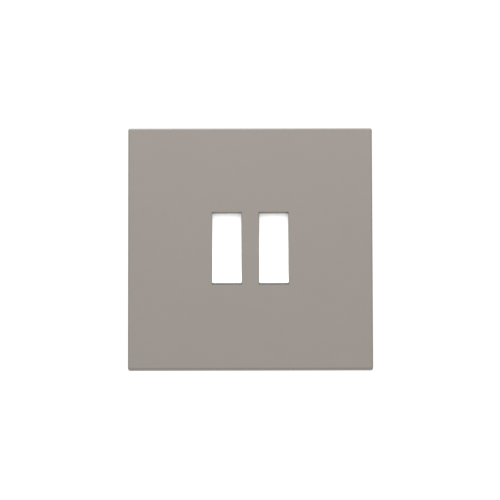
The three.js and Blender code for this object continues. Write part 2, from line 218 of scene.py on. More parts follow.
@dataclass(frozen=True)
class Metal:
    """A plated or bare metal with marks from rolling or turning, and cloudy spots.

    Args:
        name: the material's name.
        colour: the bright metal's colour, linear.
        dull: the colour of its tarnished spots.
        streaks: which way its marks run.
        roughness: its lowest and highest roughness.
        spangle: the size of the plating's crystals, in metres, or 0 for none.
    """

    name: str
    colour: Colour
    dull: Colour
    streaks: Streaks
    roughness: Span = (0.22, 0.42)
    spangle: float = 0.0

    def material(self) -> bpy.types.Material:
        """Builds the material."""
        board = NodeBoard(self.name)
        marks = board.noise(0.35 * MM, detail=4.0, stretch=self.streaks.value)
        cloud = board.spots(self.spangle) if self.spangle else board.noise(3 * MM)
        board.link(board.blend(cloud, self.dull, self.colour), board.shader.inputs["Base Color"])
        board.link(board.spread(marks, *self.roughness), board.shader.inputs["Roughness"])
        board.shader.inputs["Metallic"].default_value = 1.0
        board.relief([(marks, 0.004 * MM), (cloud, 0.0008 * MM)])
        return board.material


@dataclass(frozen=True)
class Foam:
    """A closed-cell foam seal.

    Args:
        name: the material's name.
        colour: the foam's colour, linear.
        cell: the size of its cells, in metres.
    """

    name: str
    colour: Colour
    cell: float = 0.35 * MM

    def material(self) -> bpy.types.Material:
        """Builds the material."""
        board = NodeBoard(self.name)
        cells = board.spots(self.cell)
        pale = tuple(c * 2.2 for c in self.colour)
        board.link(board.blend(cells, self.colour, pale), board.shader.inputs["Base Color"])
        board.link(board.spread(board.noise(1.2 * MM), 0.85, 1.0), board.shader.inputs["Roughness"])
        board.relief([(cells, 0.08 * MM)])
        return board.material


Finish = Moulding | Metal | Foam


class Stock:
    """The finishes of this switch, each one's material made once."""

    GREIGE = Moulding(
        "greige_plate_plastic", (0.1505, 0.1343, 0.1203), 0.008, (0.5, 0.56), 0.3 * MM, 0.0022 * MM, 0.35
    )
    WHITE = Moulding("white_rocker_plastic", (0.85, 0.85, 0.843), 0.004, (0.26, 0.32), 1.2 * MM, 0.0005 * MM)
    COVER = Moulding("pale_cover_plastic", (0.66, 0.65, 0.6), 0.02, (0.42, 0.55))
    BASE = Moulding("dark_base_plastic", (0.05, 0.053, 0.058), 0.12, (0.38, 0.55), 0.3 * MM, 0.006 * MM)
    NYLON = Moulding("plunger_nylon", (0.78, 0.72, 0.56), 0.03, (0.35, 0.45), 0.2 * MM, 0.002 * MM)
    FOAM = Foam("seal_foam", (0.018, 0.018, 0.02))
    ZINC = Metal(
        "zinc_plated_sheet", (0.62, 0.63, 0.65), (0.565, 0.575, 0.595), Streaks.ROLLED_UP,
        (0.3, 0.42), 2.2 * MM,
    )
    SCREW = Metal("zinc_plated_screw", (0.68, 0.69, 0.71), (0.52, 0.53, 0.54), Streaks.TURNED, (0.2, 0.36))
    SPRING = Metal("spring_steel", (0.45, 0.46, 0.48), (0.3, 0.3, 0.32), Streaks.ROLLED_ACROSS, (0.18, 0.34))
    BRASS = Metal("terminal_brass", (0.76, 0.56, 0.27), (0.6, 0.4, 0.17), Streaks.ROLLED_ACROSS, (0.2, 0.38))
    COPPER = Metal("blade_copper", (0.78, 0.42, 0.28), (0.6, 0.28, 0.17), Streaks.ROLLED_UP, (0.2, 0.4))
    SILVER = Metal("contact_silver", (0.9, 0.89, 0.86), (0.72, 0.7, 0.66), Streaks.TURNED, (0.16, 0.3))

    _made: dict[str, bpy.types.Material] = {}

    @classmethod
    def material(cls, finish: Finish) -> bpy.types.Material:
        """Returns the finish's material, built the first time that it is asked for."""
        if finish.name not in cls._made:
            cls._made[finish.name] = finish.material()
        return cls._made[finish.name]


# ---- The workbench: primitives, edit-mode operators and applied modifiers ----
class Bench:
    """Shapes pieces with Blender's own operators, as by hand."""

    @staticmethod
    def clear() -> None:
        """Deselects every object."""
        bpy.ops.object.select_all(action="DESELECT")

    @staticmethod
    def hold(piece: Piece) -> Piece:
        """Selects this piece alone, makes it active, and returns it."""
        Bench.clear()
        piece.select_set(True)
        bpy.context.view_layer.objects.active = piece
        return piece

    @staticmethod
    def settle(piece: Piece, name: str) -> Piece:
        """Names a piece and moves its place, turn and size into its mesh."""
        Bench.hold(piece)
        bpy.ops.object.transform_apply(location=True, rotation=True, scale=True)
        piece.name = name
        piece.data.name = name
        return piece

    @staticmethod
    def box(name: str, low: Sequence[float], high: Sequence[float]) -> Piece:
        """Adds a block between two corners."""
        low, high = Vector(low), Vector(high)
        Bench.clear()
        bpy.ops.mesh.primitive_cube_add(size=1, location=(low + high) / 2, scale=high - low)
        return Bench.settle(bpy.context.object, name)

    @staticmethod
    def slab(name: str, middle: Span, half: Span, depths: Span) -> Piece:
        """Adds a block by its middle and half sizes, across and up, and its front and back depths."""
        (x, z), (wide, high), (front, back) = middle, half, depths
        return Bench.box(name, (x - wide, front, z - high), (x + wide, back, z + high))

    @staticmethod
    def rod(
        name: str, start: Vector, axis: Axis, length: float, radius: float, sides: int = 48
    ) -> Piece:
        """Adds a round bar.

        Args:
            name: the piece's name.
            start: the middle of its first end.
            axis: the way it runs.
            length: how long it is.
            radius: its radius.
            sides: how many flats stand for the round.

        Returns:
            The bar.
        """
        along = Vector(axis.value)
        turn = Vector((0, 0, 1)).rotation_difference(along).to_euler()
        middle = start + along * (length / 2)
        Bench.clear()
        bpy.ops.mesh.primitive_cylinder_add(
            vertices=sides, radius=radius, depth=length, location=middle, rotation=turn
        )
        return Bench.settle(bpy.context.object, name)

    @staticmethod
    def mark(piece: Piece, chosen: Callable[[bpy.types.MeshPolygon], bool]) -> None:
        """Opens a piece in edit mode with the chosen faces selected."""
        Bench.hold(piece)
        bpy.context.tool_settings.mesh_select_mode = (False, False, True)
        bpy.ops.object.mode_set(mode="EDIT")
        bpy.ops.mesh.select_all(action="DESELECT")
        bpy.ops.object.mode_set(mode="OBJECT")
        for face in piece.data.polygons:
            face.select = chosen(face)
        bpy.ops.object.mode_set(mode="EDIT")

    @staticmethod
    def mark_edges(piece: Piece, chosen: Callable[[Vector, Vector], bool]) -> None:
        """Opens a piece in edit mode with the edges selected whose two ends the test accepts."""
        Bench.hold(piece)
        bpy.context.tool_settings.mesh_select_mode = (False, True, False)
        bpy.ops.object.mode_set(mode="EDIT")
        bpy.ops.mesh.select_all(action="DESELECT")
        bpy.ops.object.mode_set(mode="OBJECT")
        corners = piece.data.vertices
        for edge in piece.data.edges:
            edge.select = chosen(corners[edge.vertices[0]].co, corners[edge.vertices[1]].co)
        bpy.ops.object.mode_set(mode="EDIT")

    @staticmethod
    def open(piece: Piece) -> None:
        """Holds a piece in edit mode with all of it selected."""
        Bench.hold(piece)
        bpy.ops.object.mode_set(mode="EDIT")
        bpy.ops.mesh.select_all(action="SELECT")

    @staticmethod
    def close() -> None:
        """Leaves edit mode."""
        bpy.ops.object.mode_set(mode="OBJECT")

    @staticmethod
    def bevel_edges(
        piece: Piece, chosen: Callable[[Vector, Vector], bool], width: float, steps: int
    ) -> None:
        """Rounds the chosen edges.

        Args:
            piece: the piece to round.
            chosen: the test of an edge's two ends.
            width: the width of the round.
            steps: how many facets it has.
        """
        Bench.mark_edges(piece, chosen)
        bpy.ops.mesh.bevel(offset=width, segments=steps, affect="EDGES")
        Bench.close()

    @staticmethod
    def apply(piece: Piece, kind: str, **settings: object) -> None:
        """Adds a modifier with these settings and applies it."""
        Bench.hold(piece)
        modifier = piece.modifiers.new(kind.lower(), kind)
        for key, value in settings.items():
            setattr(modifier, key, value)
        bpy.ops.object.modifier_apply(modifier=modifier.name)

    @staticmethod
    def boolean(piece: Piece, tool: Piece, operation: str) -> None:
        """Cuts or joins a piece with a tool, which is used up."""
        Bench.apply(piece, "BOOLEAN", object=tool, operation=operation, solver="EXACT")
        bpy.data.objects.remove(tool)

    @staticmethod
    def cut(piece: Piece, *tools: Piece) -> None:
        """Cuts each tool out of the piece."""
        for tool in tools:
            Bench.boolean(piece, tool, "DIFFERENCE")

    @staticmethod
    def weld(piece: Piece, *more: Piece) -> None:
        """Joins each of the others to the piece."""
        for other in more:
            Bench.boolean(piece, other, "UNION")

    @staticmethod
    def tidy(piece: Piece, flat: float = math.radians(0.5)) -> None:
        """Merges doubled points, dissolves needless edges on flats, and turns the faces outwards."""
        Bench.open(piece)
        bpy.ops.mesh.remove_doubles(threshold=MERGE)
        bpy.ops.mesh.dissolve_limited(angle_limit=flat)
        bpy.ops.mesh.normals_make_consistent(inside=False)
        bpy.ops.object.mode_set(mode="OBJECT")

    @staticmethod
    def soften(piece: Piece, width: float, steps: int = 2, sharpest: float = 40) -> None:
        """Rounds every edge sharper than an angle and shades the piece.

        Args:
            piece: the piece to round.
            width: the width of the round.
            steps: how many facets it has.
            sharpest: edges that turn by more than this many degrees are rounded.
        """
        Bench.apply(
            piece, "BEVEL", width=width, segments=steps, limit_method="ANGLE",
            angle_limit=math.radians(sharpest), use_clamp_overlap=True, harden_normals=False,
        )
        Bench.shade(piece)

    @staticmethod
    def shade(piece: Piece, angle: float = 32) -> None:
        """Shades the piece smooth where its faces turn by less than an angle, and keeps its flats flat."""
        Bench.hold(piece)
        bpy.ops.object.shade_smooth_by_angle(angle=math.radians(angle))
        Bench.apply(piece, "WEIGHTED_NORMAL", keep_sharp=True, weight=50)

    @staticmethod
    def turned(name: str, outline: Sequence[Span], centre: Vector, steps: int = 48) -> Piece:
        """Turns an outline about a line that runs into the wall.

        Args:
            name: the piece's name.
            outline: radius and depth of each corner; it starts and ends on the axis.
            centre: a point on the axis; depths are counted from it.
            steps: how many flats stand for the round.

        Returns:
            The closed solid.
        """
        piece = Bench.trace([Vector((radius, depth, 0)) for radius, depth in outline])
        bpy.ops.object.mode_set(mode="EDIT")
        bpy.ops.mesh.select_all(action="SELECT")
        bpy.ops.mesh.spin(steps=steps, angle=2 * math.pi, center=(0, 0, 0), axis=Axis.INWARD.value)
        bpy.ops.mesh.select_all(action="SELECT")
        bpy.ops.mesh.remove_doubles(threshold=MERGE)
        bpy.ops.mesh.normals_make_consistent(inside=False)
        bpy.ops.object.mode_set(mode="OBJECT")
        piece.location = centre
        return Bench.settle(piece, name)

    @staticmethod
    def trace(corners: Sequence[Vector]) -> Piece:
        """Draws a chain of edges from corner to corner."""
        Bench.clear()
        bpy.ops.mesh.primitive_plane_add(size=MM)
        piece = bpy.context.object
        bpy.context.tool_settings.mesh_select_mode = (True, False, False)
        bpy.ops.object.mode_set(mode="EDIT")
        bpy.ops.mesh.select_all(action="SELECT")
        bpy.ops.mesh.merge(type="CENTER")
        bpy.ops.transform.translate(value=corners[0])
        for here, there in zip(corners, corners[1:]):
            bpy.ops.mesh.extrude_region_move(TRANSFORM_OT_translate={"value": there - here})
        bpy.ops.mesh.select_all(action="SELECT")
        bpy.ops.mesh.remove_doubles(threshold=MERGE)
        Bench.close()
        return piece

    @staticmethod
    def cap(piece: Piece) -> None:
        """Closes a piece's open ends and turns its faces outwards."""
        Bench.open(piece)
        bpy.ops.mesh.remove_doubles(threshold=MERGE)
        bpy.ops.mesh.fill_holes(sides=0)
        bpy.ops.mesh.select_all(action="SELECT")
        bpy.ops.mesh.normals_make_consistent(inside=False)
        Bench.close()

    @staticmethod
    def thread(
        name: str, core: float, crest: float, pitch: float, start: Vector, length: float
    ) -> Piece:
        """Makes a bar with a helical thread, which runs into the wall.

        Its section across is a cam that rises from the root to the crest and turns once in each pitch.

        Args:
            name: the piece's name.
            core: the radius at the root.
            crest: the radius at the crest.
            pitch: the distance from crest to crest.
            start: the middle of the bar's first end.
            length: the bar's length.

        Returns:
            The closed threaded bar.
        """
        sides = 24
        corners = []
        for index in range(sides + 1):
            radius = core + (crest - core) * abs(1 - 2 * (index % sides) / sides)
            angle = 2 * math.pi * index / sides
            corners.append(Vector((radius * math.cos(angle), 0, radius * math.sin(angle))))
        bar = Bench.trace(corners)
        turns = max(1, round(length / pitch))
        Bench.apply(
            bar, "SCREW", axis="Y", angle=2 * math.pi, steps=16, render_steps=16,
            screw_offset=length / turns, iterations=turns,
        )
        Bench.cap(bar)
        bar.location = start
        return Bench.settle(bar, name)

    @staticmethod
    def copy_of(node: str, name: str) -> Piece:
        """Copies a frame node's mesh into a new piece and merges it into whole faces.

        Args:
            node: the frame node.
            name: the new piece's name.

        Returns:
            The new piece.
        """
        source = frame["nodes"][node]
        piece = bpy.data.objects.new(name, source.data.copy())
        bpy.context.scene.collection.objects.link(piece)
        piece.data.materials.clear()
        piece.data.name = name
        Bench.hold(piece)
        if piece.data.has_custom_normals:
            bpy.ops.mesh.customdata_custom_splitnormals_clear()
        Bench.tidy(piece)
        return piece

    @staticmethod
    def tilt(piece: Piece, pivot: Vector, degrees: float) -> None:
        """Turns a piece about a line across the switch, through the pivot."""
        there = Matrix.Translation(pivot)
        turn = Matrix.Rotation(math.radians(degrees), 4, "X")
        piece.matrix_world = there @ turn @ there.inverted() @ piece.matrix_world
        Bench.settle(piece, piece.name)


def fit_out(piece: Piece, finish: Finish, body: str, node: str) -> None:
    """Gives a piece its finish and its body, and hides the frame node that it stands for.

    Args:
        piece: the finished piece.
        finish: its finish.
        body: the body that it moves with.
        node: the frame node that it replaces.
    """
    piece.data.materials.clear()
    piece.data.materials.append(Stock.material(finish))
    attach(piece, body)
    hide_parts(node)
    log.info("%s: %d faces, rides on %s", piece.name, len(piece.data.polygons), body)


def middle_of(node: str) -> Vector:
    """Returns the middle of a frame node's box."""
    low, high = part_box(node)
    return (low + high) / 2


def joint_place(name: str) -> Vector:
    """Returns the point on a hinge's axis."""
    return Vector(next(j["pos_m"] for j in frame["joints"] if j["name"] == name))


# ---- The clip-on plate ----
@dataclass
class CoverPlate:
    """The greige plate: a hollow square with two windows and their collars.

    Args:
        skin: the thickness of its front.
        rim: the thickness of its sides.
        corner: the radius of its corners, seen from the front.
        edge: the radius of its front edges.
        fine_edge: the radius of all its other edges.
        window: the width and height of a window.
        collar: the thickness of the wall around a window.
        collar_depth: how far the collars reach, from the plate's front.
        rib: the width and height of the ribs inside.
        rib_root: how far the ribs reach into the skin.
        rib_places: where the ribs inside run, from the middle.
    """

    skin: float = 1.5 * MM
    rim: float = 1.6 * MM
    corner: float = 0.75 * MM
    edge: float = 0.6 * MM
    fine_edge: float = 0.09 * MM
    window: Span = (10.45 * MM, 25.9 * MM)
    collar: float = 1.2 * MM
    collar_depth: float = 2.7 * MM
    rib: Span = (0.8 * MM, 0.3 * MM)
    rib_root: float = 0.2 * MM
    rib_places: Span = (18 * MM, 22 * MM)

    def build(self) -> None:
        """Shapes the plate, cuts its windows and dresses it."""
        low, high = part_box("face_plate")
        plate = self.shell(low, high)
        self.stiffen(plate, low, high)
        for side in SIDES:
            self.add_collar(plate, joint_place(f"rocker_{side}_tilt").x, low.y)
        for side in SIDES:
            self.cut_window(plate, joint_place(f"rocker_{side}_tilt").x, low.y)
        Bench.tidy(plate)
        Bench.soften(plate, self.fine_edge, steps=2)
        fit_out(plate, Stock.GREIGE, "cover_plate", "face_plate")

    def shell(self, low: Vector, high: Vector) -> Piece:
        """Makes the hollow square with round corners and front edges."""
        plate = Bench.box("greige_cover_plate", low, high)
        Bench.mark(plate, lambda face: face.normal.y > 0.9)
        bpy.ops.mesh.inset(thickness=self.rim, depth=0)
        depth = high.y - low.y - self.skin
        bpy.ops.mesh.extrude_region_move(TRANSFORM_OT_translate={"value": (0, -depth, 0)})
        Bench.close()
        wide = high.x - MERGE
        Bench.bevel_edges(plate, lambda a, b: abs(a.y - b.y) > MM and abs(a.x) > wide, self.corner, 6)
        Bench.bevel_edges(plate, lambda a, b: max(a.y, b.y) < low.y + MERGE, self.edge, 5)
        return plate

    def stiffen(self, plate: Piece, low: Vector, high: Vector) -> None:
        """Adds the low ribs on the inside of the skin."""
        width, height = self.rib
        reach = high.x - self.rim / 2
        inside = low.y + self.skin
        depths = (inside - self.rib_root, inside + height)
        for place in self.rib_places:
            for middle in (-place, place):
                across = Bench.slab("rib", (0, middle), (reach, width / 2), depths)
                upright = Bench.slab("rib", (middle, 0), (width / 2, reach), depths)
                Bench.weld(plate, across, upright)

    def add_collar(self, plate: Piece, middle: float, front: float) -> None:
        """Adds the wall around one window, behind the skin."""
        width, height = self.window
        half = (width / 2 + self.collar, height / 2 + self.collar)
        depths = (front + self.skin / 2, front + self.collar_depth)
        Bench.weld(plate, Bench.slab("collar", (middle, 0), half, depths))

    def cut_window(self, plate: Piece, middle: float, front: float) -> None:
        """Cuts one window right through."""
        width, height = self.window
        depths = (front - MM, front + 2 * self.collar_depth)
        Bench.cut(plate, Bench.slab("window", (middle, 0), (width / 2, height / 2), depths))


# ---- Each gang's moving pieces ----
@dataclass
class Gang:
    """One rocker with its plunger, spring and see-saw contact, drawn level and then tilted to rest.

    Args:
        side: left or right.
        width: the rocker's width.
        end_radius: the radius of the rocker's ends about its trunnions.
        face: how far the corners of its face stand in front of the trunnions.
        dish: how deep its face is hollowed.
        back: how far its skirt reaches behind the trunnions.
        shell: the thickness of its walls.
        end_wall: the thickness of its ends.
        edge: the radius of its edges.
        trunnion: the trunnions' radius and length.
        stem: the stem's outer radius and the radius of its bore.
        stem_end: how far the stem reaches, from the wall plane.
        web: half of the thickness and half of the height of the web that holds the stem.
        bore_floor: where its bore ends, from the wall plane.
        plunger_start: where the plunger's shoulder is, from the wall plane.
        plunger_radius: the plunger's radius.
        spigot_reach: how far its spigot's end and the start of the end's taper are from its shoulder.
        spring: the spring's coil radius and wire radius.
        spring_turns: how many turns it has.
        blade_edge: the radius of the see-saw blade's edges.
    """

    side: str
    width: float = 10.29 * MM
    end_radius: float = 13.0 * MM
    face: float = 3.2 * MM
    dish: float = 0.25 * MM
    back: float = 0.9 * MM
    shell: float = 1.3 * MM
    end_wall: float = 1.7 * MM
    edge: float = 0.1 * MM
    trunnion: Span = (0.9 * MM, 1.2 * MM)
    stem: Span = (2.7 * MM, 1.65 * MM)
    stem_end: float = 7.5 * MM
    web: Span = (0.5 * MM, 10.4 * MM)
    bore_floor: float = 0.5 * MM
    plunger_start: float = 5.2 * MM
    plunger_radius: float = 1.45 * MM
    spigot_reach: Span = (1.4 * MM, 1.1 * MM)
    spring: Span = (1.15 * MM, 0.17 * MM)
    spring_turns: int = 6
    blade_edge: float = 0.12 * MM
    pivot: Vector = field(init=False)
    blade_pivot: Vector = field(init=False)
    tilt: float = field(init=False)
    blade_tilt: float = field(init=False)

    def __post_init__(self) -> None:
        """Reads the two hinges; each one rests at half of its travel from level."""
        hinges = {j["name"]: j for j in frame["joints"]}
        rocker, blade = hinges[f"rocker_{self.side}_tilt"], hinges[f"contact_{self.side}_seesaw"]
        self.pivot, self.blade_pivot = Vector(rocker["pos_m"]), Vector(blade["pos_m"])
        self.tilt = -sum(rocker["range_deg"]) / 2
        self.blade_tilt = -sum(blade["range_deg"]) / 2

    def build(self) -> None:
        """Makes and dresses the four pieces."""
        body = f"rocker_{self.side}"
        fit_out(self.rocker(), Stock.WHITE, body, f"rocker_{self.side}")
        fit_out(self.coil(), Stock.SPRING, body, f"plunger_spring_{self.side}")
        fit_out(self.plunger(), Stock.NYLON, f"plunger_{self.side}", f"plunger_{self.side}")
        self.seesaw()

    def rocker(self) -> Piece:
        """Shapes the rocker: a slice of a drum with a dished face, hollow behind."""
        half = self.width / 2
        start = self.pivot - Vector((half, 0, 0))
        cap = Bench.rod(f"white_rocker_{self.side}", start, Axis.ACROSS, self.width, self.end_radius, 192)
        for depth, outward in ((self.pivot.y - self.face, -1), (self.pivot.y + self.back, 1)):
            Bench.open(cap)
            bpy.ops.mesh.bisect(
                plane_co=(0, depth, 0), plane_no=(0, outward, 0), use_fill=True, clear_outer=True
            )
            Bench.close()
        Bench.cut(cap, self.dish_tool(), self.hollow_tool())
        Bench.weld(cap, *self.stem_and_trunnions())
        bore_start = Vector((self.pivot.x, self.bore_floor, 0))
        radius = self.stem[1]
        Bench.cut(cap, Bench.rod("bore", bore_start, Axis.INWARD, self.stem_end, radius))
        Bench.tidy(cap)
        Bench.soften(cap, self.edge, steps=3, sharpest=35)
        Bench.tilt(cap, self.pivot, self.tilt)
        return cap

    def dish_tool(self) -> Piece:
        """Makes the very large drum that hollows the rocker's face."""
        half_height = math.sqrt(self.end_radius**2 - self.face**2)
        radius = (half_height**2 + self.dish**2) / (2 * self.dish)
        deepest = self.pivot.y - self.face + self.dish
        start = Vector((self.pivot.x - self.width, deepest - radius, 0))
        return Bench.rod("dish", start, Axis.ACROSS, 2 * self.width, radius, 1080)

    def hollow_tool(self) -> Piece:
        """Makes the block that hollows the rocker from behind."""
        half = (self.width / 2 - self.shell, self.end_radius - self.end_wall)
        front = self.pivot.y - self.face + self.dish + self.shell
        return Bench.slab("hollow", (self.pivot.x, 0), half, (front, self.end_radius))

    def stem_and_trunnions(self) -> list[Piece]:
        """Makes the stem, its web and the cross bar whose ends are the trunnions."""
        x = self.pivot.x
        front = self.pivot.y - self.face + self.dish + self.shell / 2
        stem = Bench.rod("stem", Vector((x, front, 0)), Axis.INWARD, self.stem_end - front, self.stem[0], 64)
        radius, length = self.trunnion
        reach = self.width / 2 + length
        bar = Bench.rod("bar", self.pivot - Vector((reach, 0, 0)), Axis.ACROSS, 2 * reach, radius)
        web = Bench.slab("web", (x, 0), self.web, (front, self.pivot.y))
        return [stem, bar, web]

    def plunger(self) -> Piece:
        """Turns the plunger: a spigot for the spring, a shoulder and a round nose."""
        low_tip = BladeShape.front_at_level(self.blade_pivot)
        radius, start = self.plunger_radius, self.plunger_start
        gap = chamfer = 0.1 * MM
        spigot = self.spring[0] - self.spring[1] - gap
        nose = low_tip - radius
        end, taper = (start - reach for reach in self.spigot_reach)
        outline = [(0, end), (spigot * 0.8, end), (spigot, taper)]
        outline += [(spigot, start), (radius - chamfer, start), (radius, start + chamfer)]
        steps = 10
        for step in range(steps):
            angle = step / steps * math.pi / 2
            outline.append((radius * math.cos(angle), nose + radius * math.sin(angle)))
        outline.append((0, low_tip))
        pin = Bench.turned(f"nylon_plunger_{self.side}", outline, Vector((self.pivot.x, 0, 0)))
        Bench.shade(pin)
        Bench.tilt(pin, self.pivot, self.tilt)
        return pin

    def coil(self) -> Piece:
        """Winds the spring between the bore's floor and the plunger's shoulder."""
        coil_radius, wire = self.spring
        first = self.bore_floor + wire + 0.1 * MM
        pitch = (self.plunger_start - wire - 0.1 * MM - first) / self.spring_turns
        Bench.clear()
        bpy.ops.mesh.primitive_circle_add(vertices=12, radius=wire, location=(coil_radius, 0, 0))
        spring = Bench.settle(bpy.context.object, f"plunger_coil_{self.side}")
        Bench.apply(
            spring, "SCREW", axis="Y", angle=2 * math.pi, steps=28, render_steps=28,
            screw_offset=pitch, iterations=self.spring_turns,
        )
        Bench.cap(spring)
        spring.location = (self.pivot.x, first, 0)
        Bench.settle(spring, spring.name)
        Bench.shade(spring, 45)
        Bench.tilt(spring, self.pivot, self.tilt)
        return spring

    def seesaw(self) -> None:
        """Makes the blade and its two contact rivets."""
        body = f"contact_{self.side}"
        node = f"contact_blade_{self.side}"
        blade = Bench.copy_of(node, f"seesaw_blade_{self.side}")
        Bench.soften(blade, self.blade_edge, steps=3)
        fit_out(blade, Stock.COPPER, body, node)
        for row, way in zip(ROWS, (1, -1)):
            tip = BladeShape.rivet(f"moving_contact_{row}_{self.side}", self.blade_pivot, way)
            Bench.tilt(tip, self.blade_pivot, self.blade_tilt)
            fit_out(tip, Stock.SILVER, body, f"moving_tip_{row}_{self.side}")


class BladeShape:
    """Sizes that the see-saw blade and its neighbours share."""

    THICK = 0.8 * MM
    NOSE_GAP = 0.05 * MM
    TIP_PLACE = 8.5 * MM
    TIP_RADIUS = 1.0 * MM
    TIP_HEIGHT = 0.6 * MM

    @classmethod
    def front_at_level(cls, pivot: Vector) -> float:
        """Returns how deep the plunger's nose reaches when everything is level."""
        return pivot.y - cls.THICK - cls.NOSE_GAP

    @classmethod
    def dome(cls, radius: float, foot: float, top: float) -> list[Span]:
        """Returns the outline of a rivet head that rises from foot to top."""
        rise = top - foot
        return [(0, foot), (radius, foot), (radius, foot + rise * 0.35), (radius * 0.93, foot + rise * 0.68),
                (radius * 0.78, foot + rise * 0.87), (radius * 0.45, foot + rise * 0.97), (0, top)]

    @classmethod
    def rivet(cls, name: str, pivot: Vector, way: int) -> Piece:
        """Turns one contact rivet of the blade, up or down from the middle, with the blade level."""
        centre = pivot + Vector((0, 0, way * cls.TIP_PLACE))
        outline = cls.dome(cls.TIP_RADIUS, 0.01 * MM, cls.TIP_HEIGHT)
        tip = Bench.turned(name, outline, centre, 32)
        Bench.shade(tip, 40)
        return tip


# ---- Screws ----
@dataclass(frozen=True)
class ScrewKind:
    """A slotted screw.

    Args:
        name: what it is called.
        head: the head's radius and height.
        crest: the thread's outer radius.
        pitch: the thread's pitch.
        slot: the slot's width and depth.
        countersunk: whether its head is a cone that faces the front.
    """

    name: str
    head: Span
    crest: float
    pitch: float
    slot: Span
    countersunk: bool = False

    CHAMFER = 0.2 * MM
    OVERLAP = 0.3 * MM
    NECK_SHARE = 0.95
    DEPTH_SHARE = 0.55

    def make(self, node: str) -> Piece:
        """Makes the screw in the place of its frame node.

        Args:
            node: the frame node.

        Returns:
            The screw.
        """
        low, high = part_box(node)
        middle = (low + high) / 2
        axis = Vector((middle.x, 0, middle.z))
        radius, height = self.head
        chamfer = self.CHAMFER
        if self.countersunk:
            start, end = low.y + height - self.OVERLAP, high.y
            outline = [(0, low.y), (radius - chamfer / 2, low.y), (radius, low.y + chamfer / 2)]
            neck = self.crest * self.NECK_SHARE
            outline += [(radius, low.y + chamfer), (neck, low.y + height), (0, low.y + height)]
        else:
            start, end = low.y, high.y - height + chamfer
            foot = high.y - height
            outline = [(0, foot), (radius - chamfer / 2, foot), (radius, foot + chamfer / 2)]
            outline += [(radius, high.y - chamfer), (radius - chamfer, high.y), (0, high.y)]
        core = self.crest - self.pitch * self.DEPTH_SHARE
        screw = Bench.turned(f"{self.name}_{node}", outline, axis)
        start_place = axis + Vector((0, start, 0))
        Bench.weld(screw, Bench.thread("thread", core, self.crest, self.pitch, start_place, end - start))
        width, depth = self.slot
        face = low.y if self.countersunk else high.y
        reach = Vector((2 * radius, depth, width / 2))
        centre = axis + Vector((0, face, 0))
        Bench.cut(screw, Bench.box("slot", centre - reach, centre + reach))
        Bench.tidy(screw, flat=0.0)
        Bench.shade(screw, 28)
        return screw


FIXING = ScrewKind("fixing", (3.5 * MM, 2.05 * MM), 1.7 * MM, 0.6 * MM, (1.0 * MM, 0.9 * MM), True)
CLAMP = ScrewKind("clamp", (2.6 * MM, 1.8 * MM), 1.65 * MM, 0.6 * MM, (0.8 * MM, 0.9 * MM))
CASE = ScrewKind("case", (2.1 * MM, 1.8 * MM), 1.2 * MM, 0.5 * MM, (0.6 * MM, 0.9 * MM))


@dataclass
class Screws:
    """All the screws: each kind is made once and copied to its other places."""

    def build(self) -> None:
        """Makes and dresses every screw."""
        fixings = [f"fixing_screw_{side}" for side in SIDES]
        cases = [f"case_screw_{row}_{side}" for row in ROWS for side in SIDES]
        clamps = [f"{kind}_screw_{side}" for side in SIDES for kind in ("common", *ROWS)]
        for kind, nodes in ((FIXING, fixings), (CASE, cases), (CLAMP, clamps), (CLAMP, ["earth_screw"])):
            first = kind.make(nodes[0])
            made = [first] + [self.copied(first, kind, nodes[0], node) for node in nodes[1:]]
            for piece, node in zip(made, nodes):
                body = FRAME_BODY if kind in (FIXING, CASE) else node
                fit_out(piece, Stock.SCREW, body, node)

    @staticmethod
    def copied(first: Piece, kind: ScrewKind, source: str, node: str) -> Piece:
        """Copies a screw, with its own mesh, from one frame node's place to another's."""
        copy = first.copy()
        copy.data = first.data.copy()
        bpy.context.scene.collection.objects.link(copy)
        copy.location = middle_of(node) - middle_of(source)
        return Bench.settle(copy, f"{kind.name}_{node}")


